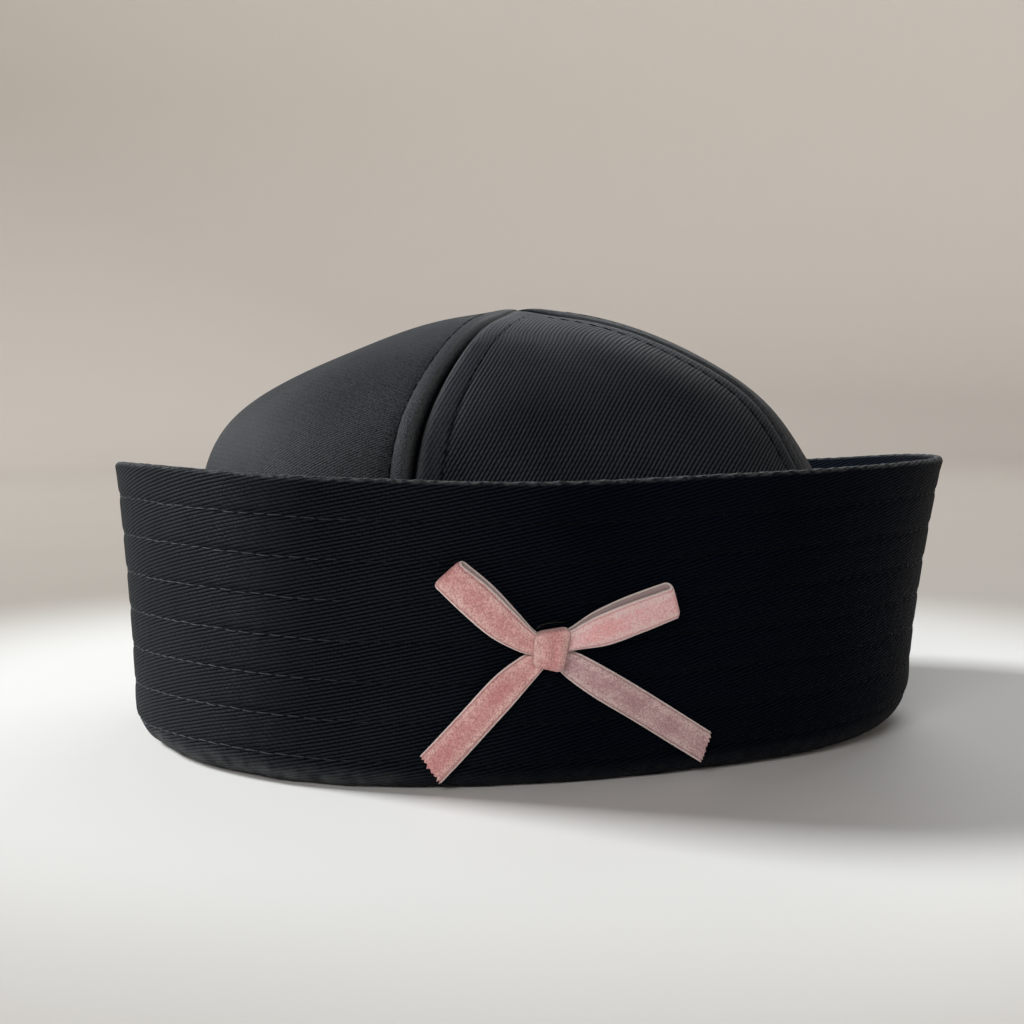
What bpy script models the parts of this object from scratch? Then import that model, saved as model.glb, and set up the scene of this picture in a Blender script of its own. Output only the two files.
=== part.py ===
"""Sailor cap: a four-gore dome crown in a deep turned-up brim, with a ribbon bow.

Metres, +Z up. The cap stands on z = 0 with the middle of its outline on the Z axis.
A direction around it is an angle measured from -Y, the front, towards +X, so the
long axis of the oval lies along X. Two seams cross at the top and part the crown
into four gores.
The brim is one cuff of doubled cloth: it starts as a flat ledge under the crown's
hem, rolls over at the fold and stands up and outwards to the rim.
"""
import math
from collections import namedtuple

import bmesh
import bpy
from mathutils import Vector

MM = 0.001
GAP = 0.3 * MM                 # between two pieces that touch
SAME_PLACE = 0.001 * MM        # corners closer than this are one

# The oval that the fold of the brim follows.
CENTRE = (-1.9 * MM, -2.9 * MM)    # that the radii are measured from
FOLD_RADIUS = 95.9 * MM        # mean, to the outer face of the brim
Wave = namedtuple("Wave", "lobes cosine sine")
OVAL = (
    Wave(1, -1.2 * MM, 0.8 * MM),
    Wave(2, -6.4 * MM, 0.0),
    Wave(3, -2.2 * MM, 0.7 * MM),
    Wave(4, -0.8 * MM, 0.0),
)

# Brim: one row for each direction where its height, lean or fold changes.
BRIM_CLOTH = 2.4 * MM          # two layers with their stiffening
LEDGE_WIDTH = 11.4 * MM        # from the oval in to the head opening
LEAN_CURVE = 1.35              # above 1, the brim leans out more towards the rim
Turn = namedtuple("Turn", "direction rim lean roll")
BRIM = (
    Turn(-180, 57.0 * MM, 6.0 * MM, 7.0 * MM),
    Turn(-145, 59.6 * MM, 5.0 * MM, 8.0 * MM),
    Turn(-115, 65.0 * MM, 4.3 * MM, 8.5 * MM),
    Turn(-80, 68.2 * MM, 4.0 * MM, 7.0 * MM),
    Turn(-45, 67.0 * MM, 4.9 * MM, 4.5 * MM),
    Turn(-20, 66.0 * MM, 5.9 * MM, 5.5 * MM),
    Turn(10, 67.1 * MM, 7.0 * MM, 6.5 * MM),
    Turn(45, 68.1 * MM, 7.8 * MM, 11.0 * MM),
    Turn(75, 67.2 * MM, 7.3 * MM, 15.0 * MM),
    Turn(100, 64.0 * MM, 7.8 * MM, 14.5 * MM),
    Turn(140, 59.3 * MM, 7.4 * MM, 9.0 * MM),
)
ROLL_DEPTH_MOST = 10.2 * MM    # a higher roll is no deeper than this
BRIM_STEPS = 80
ROLL_STEPS = 4
WALL_STEPS = 6
RIM_STEPS = 3

# Crown: a dome of one thickness of twill, each gore with its edges turned under.
CROWN_CLOTH = 1.6 * MM
CROWN_INSET = 9.5 * MM         # from the oval in to the outer face of the crown
CROWN_TOP = 104.5 * MM
CROWN_LEAN = (-2.3 * MM, -2.3 * MM)    # of the top, to the left and to the front
HEM_HEIGHT = BRIM_CLOTH + GAP
ROUNDNESS = 2.17               # 2 is an ellipse, more has fuller shoulders
Gore = namedtuple("Gore", "name left_seam right_seam puff")
GORES = (
    Gore("crown_gore_front", -41.6, 46.3, -0.3 * MM),
    Gore("crown_gore_right", 46.3, 138.4, 1.7 * MM),
    Gore("crown_gore_back", 138.4, 226.3, 2.0 * MM),
    Gore("crown_gore_left", 226.3, 318.4, 0.9 * MM),
)
PUFF_RADIUS = 15.0 * MM        # from the top, where a gore puffs up most
GORE_ROWS = 16
GORE_MIDDLE_COLUMNS = 8

# Cloth beside a seam: a groove, a roll over the turned edge, a stitched dip.
SeamStep = namedtuple("SeamStep", "distance lift")
SEAM_PROFILE = (
    SeamStep(0.0 * MM, -0.9 * MM),
    SeamStep(1.4 * MM, -0.2 * MM),
    SeamStep(3.2 * MM, 0.6 * MM),
    SeamStep(4.8 * MM, 0.5 * MM),
    SeamStep(6.2 * MM, -0.1 * MM),
    SeamStep(8.6 * MM, 0.0 * MM),
)
SEAM_STRIP_SHARE = 0.42        # most of a gore's half width that the strip may take
SEAM_FADE_RADIUS = 12.0 * MM   # from the top, inside which the relief dies away

# Where the soft crown swells out of its even dome, or sinks into it.
Swell = namedtuple("Swell", "direction height reach_around reach_up lift")
SWELLS = (
    Swell(-105, 70 * MM, 56 * MM, 18 * MM, 7.0 * MM),
    Swell(-41, 74 * MM, 38 * MM, 13 * MM, 2.3 * MM),
    Swell(-110, 98 * MM, 40 * MM, 9 * MM, -0.9 * MM),
    Swell(46, 80 * MM, 26 * MM, 13 * MM, 2.2 * MM),
)

# Bow: places on the brim's front, from the middle of the knot.
RIBBON = 1.0 * MM              # velvet ribbon's thickness
BOW_DIRECTION = -19.0
BOW_HEIGHT = 30.7 * MM
LOOP_BEND = 1.1 * MM           # radius of a loop's outer end, to the ribbon's middle
RIBBON_COLUMNS = 3
TAIL_STEPS = 16
LOOP_STEPS = 24
LOOP_LAYER_SHARE = 0.42        # of a loop's whole length, flat against the brim
AIM_SHARE = 0.01               # of a ribbon's length, over which its aim is read
Spot = namedtuple("Spot", "right up width lift")
LEFT_TAIL = (
    Spot(-5.2 * MM, -3.9 * MM, 6.0 * MM, 0.0 * MM),
    Spot(-9.2 * MM, -7.8 * MM, 6.8 * MM, 0.9 * MM),
    Spot(-16.2 * MM, -16.0 * MM, 7.0 * MM, 0.4 * MM),
    Spot(-24.4 * MM, -25.4 * MM, 7.0 * MM, 0.9 * MM),
)
RIGHT_TAIL = (
    Spot(5.1 * MM, -4.2 * MM, 6.0 * MM, 0.0 * MM),
    Spot(12.0 * MM, -8.6 * MM, 6.8 * MM, 0.9 * MM),
    Spot(24.0 * MM, -16.0 * MM, 7.0 * MM, 0.3 * MM),
    Spot(37.5 * MM, -24.4 * MM, 7.0 * MM, 0.8 * MM),
)
LEFT_LOOP = (
    Spot(-5.6 * MM, 2.0 * MM, 4.4 * MM, 0.0 * MM),
    Spot(-9.4 * MM, 6.0 * MM, 7.0 * MM, 0.5 * MM),
    Spot(-14.7 * MM, 11.7 * MM, 7.6 * MM, 0.6 * MM),
    Spot(-19.1 * MM, 16.4 * MM, 6.8 * MM, 0.3 * MM),
)
RIGHT_LOOP = (
    Spot(5.0 * MM, 2.0 * MM, 4.6 * MM, 0.0 * MM),
    Spot(10.6 * MM, 4.3 * MM, 6.8 * MM, 0.5 * MM),
    Spot(17.6 * MM, 7.1 * MM, 7.2 * MM, 0.6 * MM),
    Spot(26.0 * MM, 10.0 * MM, 6.9 * MM, 0.3 * MM),
)
KNOT_WIDTH = 7.8 * MM
KNOT_HEIGHT = 9.6 * MM
KNOT_DEPTH = 4.2 * MM
KNOT_TILT = 8.0                # degrees that the knot leans to the left
KNOT_TAPER = 0.18              # of its width that the knot loses from top to foot
KNOT_ROUNDING = 0.24           # of its size, at every edge
KNOT_STEPS = 3
LEFT_CUT_SLANT = 2.0 * MM      # that one corner of a tail's end reaches past the other
RIGHT_CUT_SLANT = -1.5 * MM
LEFT_LAYER_SHIFT = 0.05        # of the ribbon's width, between the two layers of a loop
RIGHT_LAYER_SHIFT = -0.2
SHARP_ANGLE = 50.0             # degrees between two faces, above which their edge is sharp

TWILL_BLACK = (0.010, 0.012, 0.013, 1.0)
VELVET_PINK = (0.640, 0.300, 0.310, 1.0)


# ---------------------------------------------------------------- curves

def around(rows, column, degrees):
    """Smooth value of one column, read round the whole circle of rows."""
    first = rows[0].direction
    degrees = (degrees - first) % 360.0 + first
    index = max(i for i, row in enumerate(rows) if row.direction <= degrees)

    def knot(i):
        turns, place = divmod(i, len(rows))
        return rows[place].direction + 360.0 * turns, getattr(rows[place], column)

    before, here, there, after = (knot(index + i) for i in (-1, 0, 1, 2))
    span = there[0] - here[0]
    t = (degrees - here[0]) / span
    slope_here = (there[1] - before[1]) / (there[0] - before[0]) * span
    slope_there = (after[1] - here[1]) / (after[0] - here[0]) * span
    return hermite(t, here[1], slope_here, there[1], slope_there)


def along(rows, column, share):
    """Smooth value of one column, read from the first row (0) to the last (1)."""
    last = len(rows) - 1
    place = min(max(share, 0.0), 1.0) * last
    index = min(int(place), last - 1)
    value = [getattr(rows[min(max(index + i, 0), last)], column) for i in (-1, 0, 1, 2)]
    slope_here = (value[2] - value[0]) / 2
    slope_there = (value[3] - value[1]) / 2
    return hermite(place - index, value[1], slope_here, value[2], slope_there)


def hermite(t, start, start_slope, end, end_slope):
    """Cubic from start to end with the given slopes."""
    return ((2 * t**3 - 3 * t**2 + 1) * start + (t**3 - 2 * t**2 + t) * start_slope
            + (3 * t**2 - 2 * t**3) * end + (t**3 - t**2) * end_slope)


def lerp_rows(rows, distance):
    """Lift at a distance, on straight lines between the rows."""
    for near, far in zip(rows, rows[1:]):
        if distance <= far.distance:
            t = (distance - near.distance) / (far.distance - near.distance)
            return near.lift + t * (far.lift - near.lift)
    return rows[-1].lift


# ---------------------------------------------------------------- places on the cap

def on_cap(degrees, radius, height):
    """Point at a direction, a radius and a height."""
    angle = math.radians(degrees)
    return Vector((CENTRE[0] + radius * math.sin(angle),
                   CENTRE[1] - radius * math.cos(angle), height))


def oval_radius(degrees):
    """Radius of the brim's fold in a direction."""
    angle = math.radians(degrees)
    return FOLD_RADIUS + sum(
        wave.cosine * math.cos(wave.lobes * angle) + wave.sine * math.sin(wave.lobes * angle)
        for wave in OVAL)


def brim_wall(degrees, height):
    """Radius of the brim's outer face above the fold, and how fast it grows upwards."""
    rim, lean, roll = (around(BRIM, column, degrees) for column in ("rim", "lean", "roll"))
    rise = max(height - roll, 0.0) / (rim - roll)
    radius = oval_radius(degrees) + lean * rise**LEAN_CURVE
    slope = lean * LEAN_CURVE * rise**(LEAN_CURVE - 1) / (rim - roll)
    return radius, slope


def on_brim(right, up, lift):
    """Point of the bow: right and up from its knot, and lift off the brim's cloth."""
    knot_radius, _ = brim_wall(BOW_DIRECTION, BOW_HEIGHT)
    degrees = BOW_DIRECTION + math.degrees(right / knot_radius)
    height = BOW_HEIGHT + up
    radius, slope = brim_wall(degrees, height)
    tilt = math.atan(slope)
    return on_cap(degrees, radius + lift * math.cos(tilt), height - lift * math.sin(tilt))


# ---------------------------------------------------------------- mesh helpers

def add_object(bm, name, material, collection):
    """Turn a finished bmesh into a smooth shaded object of the cap."""
    bm.normal_update()
    bmesh.ops.recalc_face_normals(bm, faces=bm.faces)
    mesh = bpy.data.meshes.new(name)
    bm.to_mesh(mesh)
    bm.free()
    mesh.materials.append(material)
    mesh.shade_smooth()
    mesh.set_sharp_from_angle(angle=math.radians(SHARP_ANGLE))
    thing = bpy.data.objects.new(name, mesh)
    collection.objects.link(thing)
    return thing


def slab(columns, rows, place):
    """Closed sheet of cloth: place(u, v, depth) puts each corner of a flat slab.

    u and v run from 0 to 1 over the sheet, and depth is 0 on its outer face and 1
    on its inner face.
    """
    bm = bmesh.new()
    bmesh.ops.create_grid(bm, x_segments=columns, y_segments=rows, size=0.5)
    outer = set(bm.verts)
    bmesh.ops.solidify(bm, geom=bm.faces[:], thickness=1.0)
    for vert in bm.verts:
        depth = 0.0 if vert in outer else 1.0
        vert.co = place(vert.co.x + 0.5, vert.co.y + 0.5, depth)
    bmesh.ops.remove_doubles(bm, verts=bm.verts, dist=SAME_PLACE)
    return bm


def ring(steps, section_at):
    """Closed ring through one closed section for each direction."""
    bm = bmesh.new()
    loops = []
    for step in range(steps):
        degrees = 360.0 * step / steps
        loops.append([bm.verts.new(on_cap(degrees, *point)) for point in section_at(degrees)])
    for here, there in zip(loops, loops[1:] + loops[:1]):
        for i in range(len(here)):
            bm.faces.new((here[i - 1], here[i], there[i], there[i - 1]))
    return bm


def principled(name, colour, roughness, sheen):
    """Plain cloth material."""
    material = bpy.data.materials.new(name)
    material.use_nodes = True
    shader = material.node_tree.nodes["Principled BSDF"]
    shader.inputs["Base Color"].default_value = colour
    shader.inputs["Roughness"].default_value = roughness
    shader.inputs["Metallic"].default_value = 0.0
    shader.inputs["Sheen Weight"].default_value = sheen
    material.diffuse_color = colour
    return material


# ---------------------------------------------------------------- brim

def brim_section(degrees):
    """Closed outline of the cuff in one direction, as (radius, height) points."""
    rim, roll = (around(BRIM, column, degrees) for column in ("rim", "roll"))
    tuck = min(roll, ROLL_DEPTH_MOST)
    oval = oval_radius(degrees)
    edge = BRIM_CLOTH / 2
    stations = [((oval - LEDGE_WIDTH, 0.0), (0.0, -1.0))]
    for step in range(ROLL_STEPS + 1):
        angle = math.pi / 2 * step / ROLL_STEPS
        out, down = math.sin(angle), math.cos(angle)
        length = math.hypot(out / tuck, down / roll)
        stations.append(((oval - tuck * (1 - out), roll * (1 - down)),
                         (out / tuck / length, -down / roll / length)))
    for step in range(1, WALL_STEPS + 1):
        height = roll + (rim - edge - roll) * step / WALL_STEPS
        radius, slope = brim_wall(degrees, height)
        length = math.hypot(1.0, slope)
        stations.append(((radius, height), (1.0 / length, -slope / length)))
    outer = [point for point, _ in stations]
    inner = [(point[0] - BRIM_CLOTH * normal[0], point[1] - BRIM_CLOTH * normal[1])
             for point, normal in stations]
    top_outer, top_inner = outer[-1], inner[-1]
    centre = ((top_outer[0] + top_inner[0]) / 2, (top_outer[1] + top_inner[1]) / 2)
    lean = math.atan2(top_outer[1] - top_inner[1], top_outer[0] - top_inner[0])
    arc = []
    for step in range(1, RIM_STEPS):
        angle = lean + math.pi * step / RIM_STEPS
        arc.append((centre[0] + edge * math.cos(angle), centre[1] + edge * math.sin(angle)))
    return outer + arc + inner[::-1]


def build_brim(material, collection):
    return add_object(ring(BRIM_STEPS, brim_section), "brim", material, collection)


# ---------------------------------------------------------------- crown

def dome(degrees, climb):
    """Even dome at a direction and a climb from hem (0) to top (1).

    Gives the radius, the height and the outward normal of that place.
    """
    base = oval_radius(degrees) - CROWN_INSET
    rise = CROWN_TOP - HEM_HEIGHT
    angle = math.pi / 2 * climb
    across = max(math.cos(angle), 0.0)**(2 / ROUNDNESS)
    up = math.sin(angle)**(2 / ROUNDNESS)
    out = across**(ROUNDNESS - 1) / base
    lift = up**(ROUNDNESS - 1) / rise
    length = math.hypot(out, lift)
    return base * across, HEM_HEIGHT + rise * up, out / length, lift / length


def swell_at(point):
    """How far the swells and dents move the crown at a point of the even dome."""
    total = 0.0
    for swell in SWELLS:
        level = (swell.height - HEM_HEIGHT) / (CROWN_TOP - HEM_HEIGHT)
        share = (1 - level**ROUNDNESS)**(1 / ROUNDNESS)
        radius = (oval_radius(swell.direction) - CROWN_INSET) * share
        centre = on_cap(swell.direction, radius, swell.height)
        away = point - centre
        sideways = math.hypot(away.x, away.y) / swell.reach_around
        upwards = away.z / swell.reach_up
        total += swell.lift * math.exp(-sideways**2 - upwards**2)
    return total


def gore_columns(half_width):
    """Distances of a gore's columns from its left seam, over its whole width.

    The columns by either seam follow the seam profile, and the others divide the
    middle evenly.
    """
    profile_width = SEAM_PROFILE[-1].distance
    strip = min(profile_width, SEAM_STRIP_SHARE * half_width)
    near = [strip * step.distance / profile_width for step in SEAM_PROFILE]
    middle_width = 2 * (half_width - strip)
    middle = [strip + middle_width * i / GORE_MIDDLE_COLUMNS
              for i in range(1, GORE_MIDDLE_COLUMNS)]
    far = [2 * half_width - distance for distance in reversed(near)]
    return near + middle + far


def build_gore(gore, material, collection):
    """One quarter of the crown, standing clear of its neighbours by the seam gap."""
    columns = 2 * len(SEAM_PROFILE) + GORE_MIDDLE_COLUMNS - 2
    middle = (gore.left_seam + gore.right_seam) / 2
    span = gore.right_seam - gore.left_seam
    half = math.radians(span / 2)
    clear = on_cap(middle, GAP / 2 / math.sin(half), 0.0) - on_cap(middle, 0.0, 0.0)

    def place(u, v, depth):
        column = round(u * columns)
        half_width = dome(middle, v)[0] * half
        share = column / columns
        if half_width > SAME_PLACE:
            share = gore_columns(half_width)[column] / (2 * half_width)
        degrees = gore.left_seam + span * share
        radius, height, out, lift = dome(degrees, v)
        from_seam = radius * math.sin(half * (1 - abs(2 * share - 1)))
        relief = lerp_rows(SEAM_PROFILE, from_seam) * min(radius / SEAM_FADE_RADIUS, 1.0)
        reach = radius / PUFF_RADIUS
        puff = gore.puff * (1 - abs(2 * share - 1)**3) * reach * math.exp(1 - reach)
        move = relief + puff + swell_at(on_cap(degrees, radius, height)) - depth * CROWN_CLOTH
        climb = (height - HEM_HEIGHT) / (CROWN_TOP - HEM_HEIGHT)
        lean = Vector((*CROWN_LEAN, 0.0)) * climb**2
        return on_cap(degrees, radius + out * move, height + lift * move) + lean + clear

    return add_object(slab(columns, GORE_ROWS, place), gore.name, material, collection)


# ---------------------------------------------------------------- bow

def ribbon_point(rows, share, across, lift, bend=0.0):
    """Point of a ribbon: share of its length, across its width (-0.5 to 0.5), lift.

    bend moves the point on past the ribbon's end, in the ribbon's own direction.
    """
    here = Vector((along(rows, "right", share), along(rows, "up", share)))
    start, end = max(share - AIM_SHARE, 0.0), min(share + AIM_SHARE, 1.0)
    ahead = Vector((along(rows, "right", end) - along(rows, "right", start),
                    along(rows, "up", end) - along(rows, "up", start))).normalized()
    side = Vector((-ahead.y, ahead.x))
    spot = here + side * (across * along(rows, "width", share)) + ahead * bend
    return on_brim(spot.x, spot.y, lift)


def build_tail(name, rows, cut_slant, material, collection):
    """A free end of the ribbon: a strip that lies on the brim, cut at a slant."""
    def place(u, v, depth):
        lift = GAP + along(rows, "lift", v) + RIBBON * (1 - depth)
        slant = cut_slant * (u - 0.5) * v
        return ribbon_point(rows, v, u - 0.5, lift, bend=slant)

    bm = slab(RIBBON_COLUMNS, TAIL_STEPS, place)
    return add_object(bm, name, material, collection)


def build_loop(name, rows, layer_shift, material, collection):
    """A loop of the bow: the ribbon runs out along the brim, bends and comes back."""
    bend_share = 1.0 - 2 * LOOP_LAYER_SHARE

    def place(u, v, depth):
        aside = (0.5 - depth) * RIBBON
        floor = GAP + RIBBON / 2
        if v <= LOOP_LAYER_SHARE:
            share, turn = v / LOOP_LAYER_SHARE, 0.0
        elif v >= LOOP_LAYER_SHARE + bend_share:
            share, turn = (1.0 - v) / LOOP_LAYER_SHARE, math.pi
        else:
            share, turn = 1.0, math.pi * (v - LOOP_LAYER_SHARE) / bend_share
        spread = along(rows, "lift", share)
        radius = LOOP_BEND + spread / 2
        centre = floor + radius
        lift = centre - (radius + aside) * math.cos(turn)
        bend = (radius + aside) * math.sin(turn)
        across = u - 0.5 + layer_shift * share * (1 - math.cos(turn)) / 2
        return ribbon_point(rows, share, across, lift, bend)

    bm = slab(RIBBON_COLUMNS, LOOP_STEPS, place)
    return add_object(bm, name, material, collection)


def build_knot(material, collection):
    """The wrapped middle of the bow: a pillow on the brim, narrower at its foot."""
    bm = bmesh.new()
    bmesh.ops.create_cube(bm, size=1.0)
    bmesh.ops.bevel(bm, geom=bm.edges[:], offset=KNOT_ROUNDING, segments=KNOT_STEPS,
                    affect="EDGES", profile=0.5)
    tilt = math.radians(KNOT_TILT)
    for vert in bm.verts:
        right = vert.co.x * KNOT_WIDTH * (1 - KNOT_TAPER * (0.5 - vert.co.y))
        up = vert.co.y * KNOT_HEIGHT
        lift = GAP + (vert.co.z + 0.5) * KNOT_DEPTH
        vert.co = on_brim(right * math.cos(tilt) - up * math.sin(tilt),
                          right * math.sin(tilt) + up * math.cos(tilt), lift)
    return add_object(bm, "bow_knot", material, collection)


# ---------------------------------------------------------------- cap

def main():
    for thing in list(bpy.data.objects):
        bpy.data.objects.remove(thing, do_unlink=True)
    cap = bpy.data.collections.new("sailor_cap")
    bpy.context.scene.collection.children.link(cap)
    twill = principled("black_twill", TWILL_BLACK, 0.85, 0.3)
    velvet = principled("pink_velvet", VELVET_PINK, 0.9, 0.6)

    build_brim(twill, cap)
    for gore in GORES:
        build_gore(gore, twill, cap)
    build_tail("bow_tail_left", LEFT_TAIL, LEFT_CUT_SLANT, velvet, cap)
    build_tail("bow_tail_right", RIGHT_TAIL, RIGHT_CUT_SLANT, velvet, cap)
    build_loop("bow_loop_left", LEFT_LOOP, LEFT_LAYER_SHIFT, velvet, cap)
    build_loop("bow_loop_right", RIGHT_LOOP, RIGHT_LAYER_SHIFT, velvet, cap)
    build_knot(velvet, cap)


main()
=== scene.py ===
"""Sailor cap: sewn twill and a velvet bow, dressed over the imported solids.

Metres, +Z up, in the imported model's frame. A direction round the cap is an angle
from -Y, the front, towards +X. Cloth maps are in metres, so that weave and stitches
keep their real size.
"""

import math
from collections import namedtuple

import bmesh
import bpy
import numpy as np
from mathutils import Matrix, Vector


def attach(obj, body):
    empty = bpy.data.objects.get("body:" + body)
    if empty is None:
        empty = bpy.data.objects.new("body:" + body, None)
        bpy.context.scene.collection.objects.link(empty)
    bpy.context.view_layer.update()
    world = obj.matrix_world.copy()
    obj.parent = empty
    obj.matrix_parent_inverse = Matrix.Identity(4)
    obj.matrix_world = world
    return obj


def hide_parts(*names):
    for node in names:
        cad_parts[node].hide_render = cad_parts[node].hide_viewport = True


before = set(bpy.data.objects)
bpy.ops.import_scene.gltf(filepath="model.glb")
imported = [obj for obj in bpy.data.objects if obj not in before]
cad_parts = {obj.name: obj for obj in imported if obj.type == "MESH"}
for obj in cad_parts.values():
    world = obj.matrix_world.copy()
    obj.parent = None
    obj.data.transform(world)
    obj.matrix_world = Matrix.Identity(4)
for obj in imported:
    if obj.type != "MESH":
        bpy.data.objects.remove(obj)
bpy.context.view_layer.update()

MM = 0.001
GAP = 0.3 * MM
SAME_PLACE = 0.001 * MM


def table(kind, lengths, *rows):
    """Rows of a table; its columns that are lengths are written in millimetres."""
    units = [MM if column in lengths.split() else 1 for column in kind._fields]
    return tuple(kind(*(value * unit for value, unit in zip(row, units))) for row in rows)


# ---- the cap's shape

CENTRE = (-1.9 * MM, -2.9 * MM)
FOLD_RADIUS = 95.9 * MM
Wave = namedtuple("Wave", "lobes cosine sine")
OVAL = table(
    Wave, "cosine sine",
    (1, -1.2, 0.8), (2, -6.4, 0.0),
    (3, -2.2, 0.7), (4, -0.8, 0.0),
)

BRIM_CLOTH = 2.4 * MM
LEDGE_WIDTH = 11.4 * MM
LEAN_CURVE = 1.35
Turn = namedtuple("Turn", "direction rim lean roll")
BRIM = table(
    Turn, "rim lean roll",
    (-180, 57.0, 6.0, 7.0), (-145, 59.6, 5.0, 8.0),
    (-115, 65.0, 4.3, 8.5), (-80, 68.2, 4.0, 7.0),
    (-45, 67.0, 4.9, 4.5), (-20, 66.0, 5.9, 5.5),
    (10, 67.1, 7.0, 6.5), (45, 68.1, 7.8, 11.0),
    (75, 67.2, 7.3, 15.0), (100, 64.0, 7.8, 14.5),
    (140, 59.3, 7.4, 9.0),
)
ROLL_DEPTH_MOST = 10.2 * MM
BRIM_COLUMNS = 480
RIM_STEPS = 9

# Stitch rows of the brim, at a fixed way down from the rim.
ROW_COUNT = 7
ROW_PITCH = 8.7 * MM
ROW_SPREAD = 0.65 * MM  # added to the pitch round the left side
ROW_SPREAD_MIDDLE = -105
ROW_SPREAD_REACH = 28
ROW_DIP = 0.34 * MM
ROW_DIP_REACH = 0.95 * MM
STITCH_LENGTH = 3.65 * MM
STITCH_PITCH = 3.9 * MM
THREAD = 0.26 * MM
# Corners of the brim's section, in mm: below the rim, and from each row of stitches.
RIM_STATIONS = (0.0, 0.8, 2.2, 3.8)
OUTER_STATIONS = (-2.6, -1.7, -1.15, -0.75, -0.4, 0.0, 0.4, 0.75, 1.15, 1.7, 2.6, 4.35)
INNER_STATIONS = (-1.5, -0.6, 0.0, 0.6, 1.5, 4.35)
LAST_STATION = 3.0
OUTER_FOLD_STEPS = 16
INNER_FOLD_STEPS = 12

CROWN_CLOTH = 1.6 * MM
CROWN_INSET = 9.5 * MM
CROWN_TOP = 104.5 * MM
CROWN_LEAN = (-2.3 * MM, -2.3 * MM)
HEM_HEIGHT = BRIM_CLOTH + GAP
ROUNDNESS = 2.17
SEAM_GAP = 0.08 * MM
# A strip is the cloth between a seam and its topstitching, and a roll is how full it is.
Gore = namedtuple("Gore", "name left_seam right_seam puff left_strip right_strip "
                          "left_roll right_roll")
GORES = table(
    Gore, "puff left_strip right_strip",
    ("front", -42.0, 46.3, -0.3, 6.2, 5.2, 0.35, 0.5),
    ("right", 46.3, 138.4, 1.7, 5.0, 5.2, 0.9, 0.6),
    ("back", 138.4, 226.3, 1.7, 5.0, 5.0, 0.6, 0.6),
    ("left", 226.3, 318.0, 0.7, 5.2, 4.9, 0.6, 1.2),
)
PUFF_RADIUS = 15.0 * MM
GORE_ROWS = 120
GORE_MIDDLE_COLUMNS = 64
SeamStep = namedtuple("SeamStep", "strips lift")
SEAM_PROFILE = table(
    SeamStep, "lift",
    (0.0, -1.6), (0.05, -1.3), (0.10, -0.6), (0.15, 0.2), (0.22, 0.72),
    (0.32, 0.85), (0.46, 0.78), (0.62, 0.56), (0.80, 0.26), (0.93, -0.06),
    (1.0, -0.3), (1.06, -0.16), (1.18, 0.0), (1.4, 0.04), (1.7, 0.0),
)
SEAM_STRIP_SHARE = 0.42
SEAM_FADE_RADIUS = 55.0 * MM
APEX_LIFT = 1.3 * MM
APEX_RADIUS = 8.0 * MM
Swell = namedtuple("Swell", "direction height reach_around reach_up lift")
SWELLS = table(
    Swell, "height reach_around reach_up lift",
    (-105, 70, 56, 18, 7.0), (-41, 74, 38, 13, 2.3),
    (-110, 98, 40, 9, -0.9), (46, 80, 26, 13, 2.2),
)

RIBBON = 1.0 * MM
RIBBON_WIDTH = 7 * MM
BOW_DIRECTION = -19.0
BOW_HEIGHT = 30.7 * MM
LOOP_BEND = 0.85 * MM
LOOP_LAYER_SHARE = 0.42
AIM_SHARE = 0.01
Spot = namedtuple("Spot", "right up width lift")


def spots(*rows):
    return table(Spot, "right up width lift", *rows)


LEFT_TAIL = spots(
    (-2.4, -1.9, 4.2, 0.3), (-5.0, -4.1, 5.7, 0.3), (-9.3, -8.0, 6.9, 0.9),
    (-16.2, -16.0, 7.0, 0.4), (-24.4, -25.4, 7.0, 0.9),
)
RIGHT_TAIL = spots(
    (2.2, -2.0, 4.2, 0.3), (5.2, -4.0, 5.9, 0.3), (12.0, -8.4, 6.9, 0.9),
    (24.0, -15.8, 7.0, 0.3), (37.0, -24.0, 7.0, 0.8),
)
LEFT_LOOP = spots(
    (-2.2, 0.9, 4.2, 0.0), (-5.4, 2.4, 5.3, 0.0), (-9.8, 6.2, 7.0, 0.5),
    (-14.7, 11.5, 7.5, 0.6), (-19.3, 16.2, 6.9, 0.3),
)
RIGHT_LOOP = spots(
    (2.0, 1.4, 3.6, 0.0), (5.2, 2.4, 4.7, 0.0), (10.6, 4.5, 6.9, 0.5),
    (17.6, 7.2, 7.3, 0.6), (26.0, 10.0, 6.9, 0.3),
)
RIBBON_COLUMNS = 26
TAIL_ROWS = 110
LOOP_ROWS = 170
PLEAT = 0.32 * MM  # folds where the knot gathers the ribbon
PLEAT_REACH = 0.24  # share of the ribbon that they run along
PLEAT_TURN = 9.4  # radians of their wave across the ribbon
CURL = 0.25 * MM  # lift of a tail's edges between its ends
FRAY = 0.4 * MM
FRAYED_SHARE = 0.975  # a tail is frayed from here
LEFT_CUT = 2.0 * MM  # slant of a tail's cut end
RIGHT_CUT = -1.5 * MM
UNDERSIDE = 1.0  # added to the way along a ribbon on its wrong side
LEFT_SLIP = 0.05  # how far a loop's front layer is off its back one, in widths
RIGHT_SLIP = -0.14
KNOT_DEPTH = 4.2 * MM
KNOT_LENGTH = 9 * MM
KNOT_CREASE = 0.16 * MM
KNOT_HEM = 0.4 * MM  # keeps the selvage off the knot's sides
KNOT_CORNERS = ((-4.1, -3.0), (2.6, -4.8), (4.3, 5.0), (-3.8, 3.9))  # mm, from lower left


# ---- curves

def hermite(t, start, start_slope, end, end_slope):
    """Cubic from start to end with the given slopes."""
    return ((2 * t**3 - 3 * t**2 + 1) * start + (t**3 - 2 * t**2 + t) * start_slope
            + (3 * t**2 - 2 * t**3) * end + (t**3 - t**2) * end_slope)


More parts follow.
